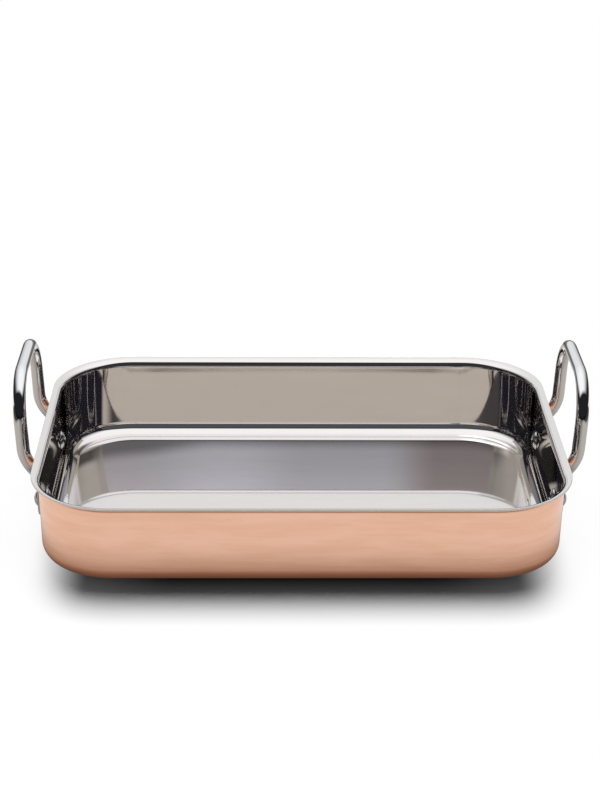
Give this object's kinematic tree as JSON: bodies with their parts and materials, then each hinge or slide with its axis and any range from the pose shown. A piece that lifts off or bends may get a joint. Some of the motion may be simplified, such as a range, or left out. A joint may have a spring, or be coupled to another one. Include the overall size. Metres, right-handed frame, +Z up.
{
  "type": "roasting pan",
  "caption": "Deep rectangular roasting pan of copper-clad sheet with a steel lining, a flared lip and upright riveted loop handles for roasting meat in an oven.",
  "frame": {"origin": "middle of the base's underside", "axes": "+X along the length towards the right handle, +Y from the front wall to the rear wall, +Z up"},
  "size_m": [0.3838, 0.2486, 0.114],
  "materials": {
    "copper": "copper, brushed along the walls",
    "core_aluminium": "rolled, seen only as a line at the lip's edge",
    "lining_steel": "satin to bright stainless steel",
    "polished_steel": "mirror-polished stainless steel"
  },
  "bodies": {
    "root": {"copper_skin": "copper", "aluminium_core": "core_aluminium", "steel_lining": "lining_steel", "left_handle": "polished_steel", "right_handle": "polished_steel", "left_front_rivet": "polished_steel", "left_rear_rivet": "polished_steel", "right_front_rivet": "polished_steel", "right_rear_rivet": "polished_steel"}
  },
  "joints": []
}
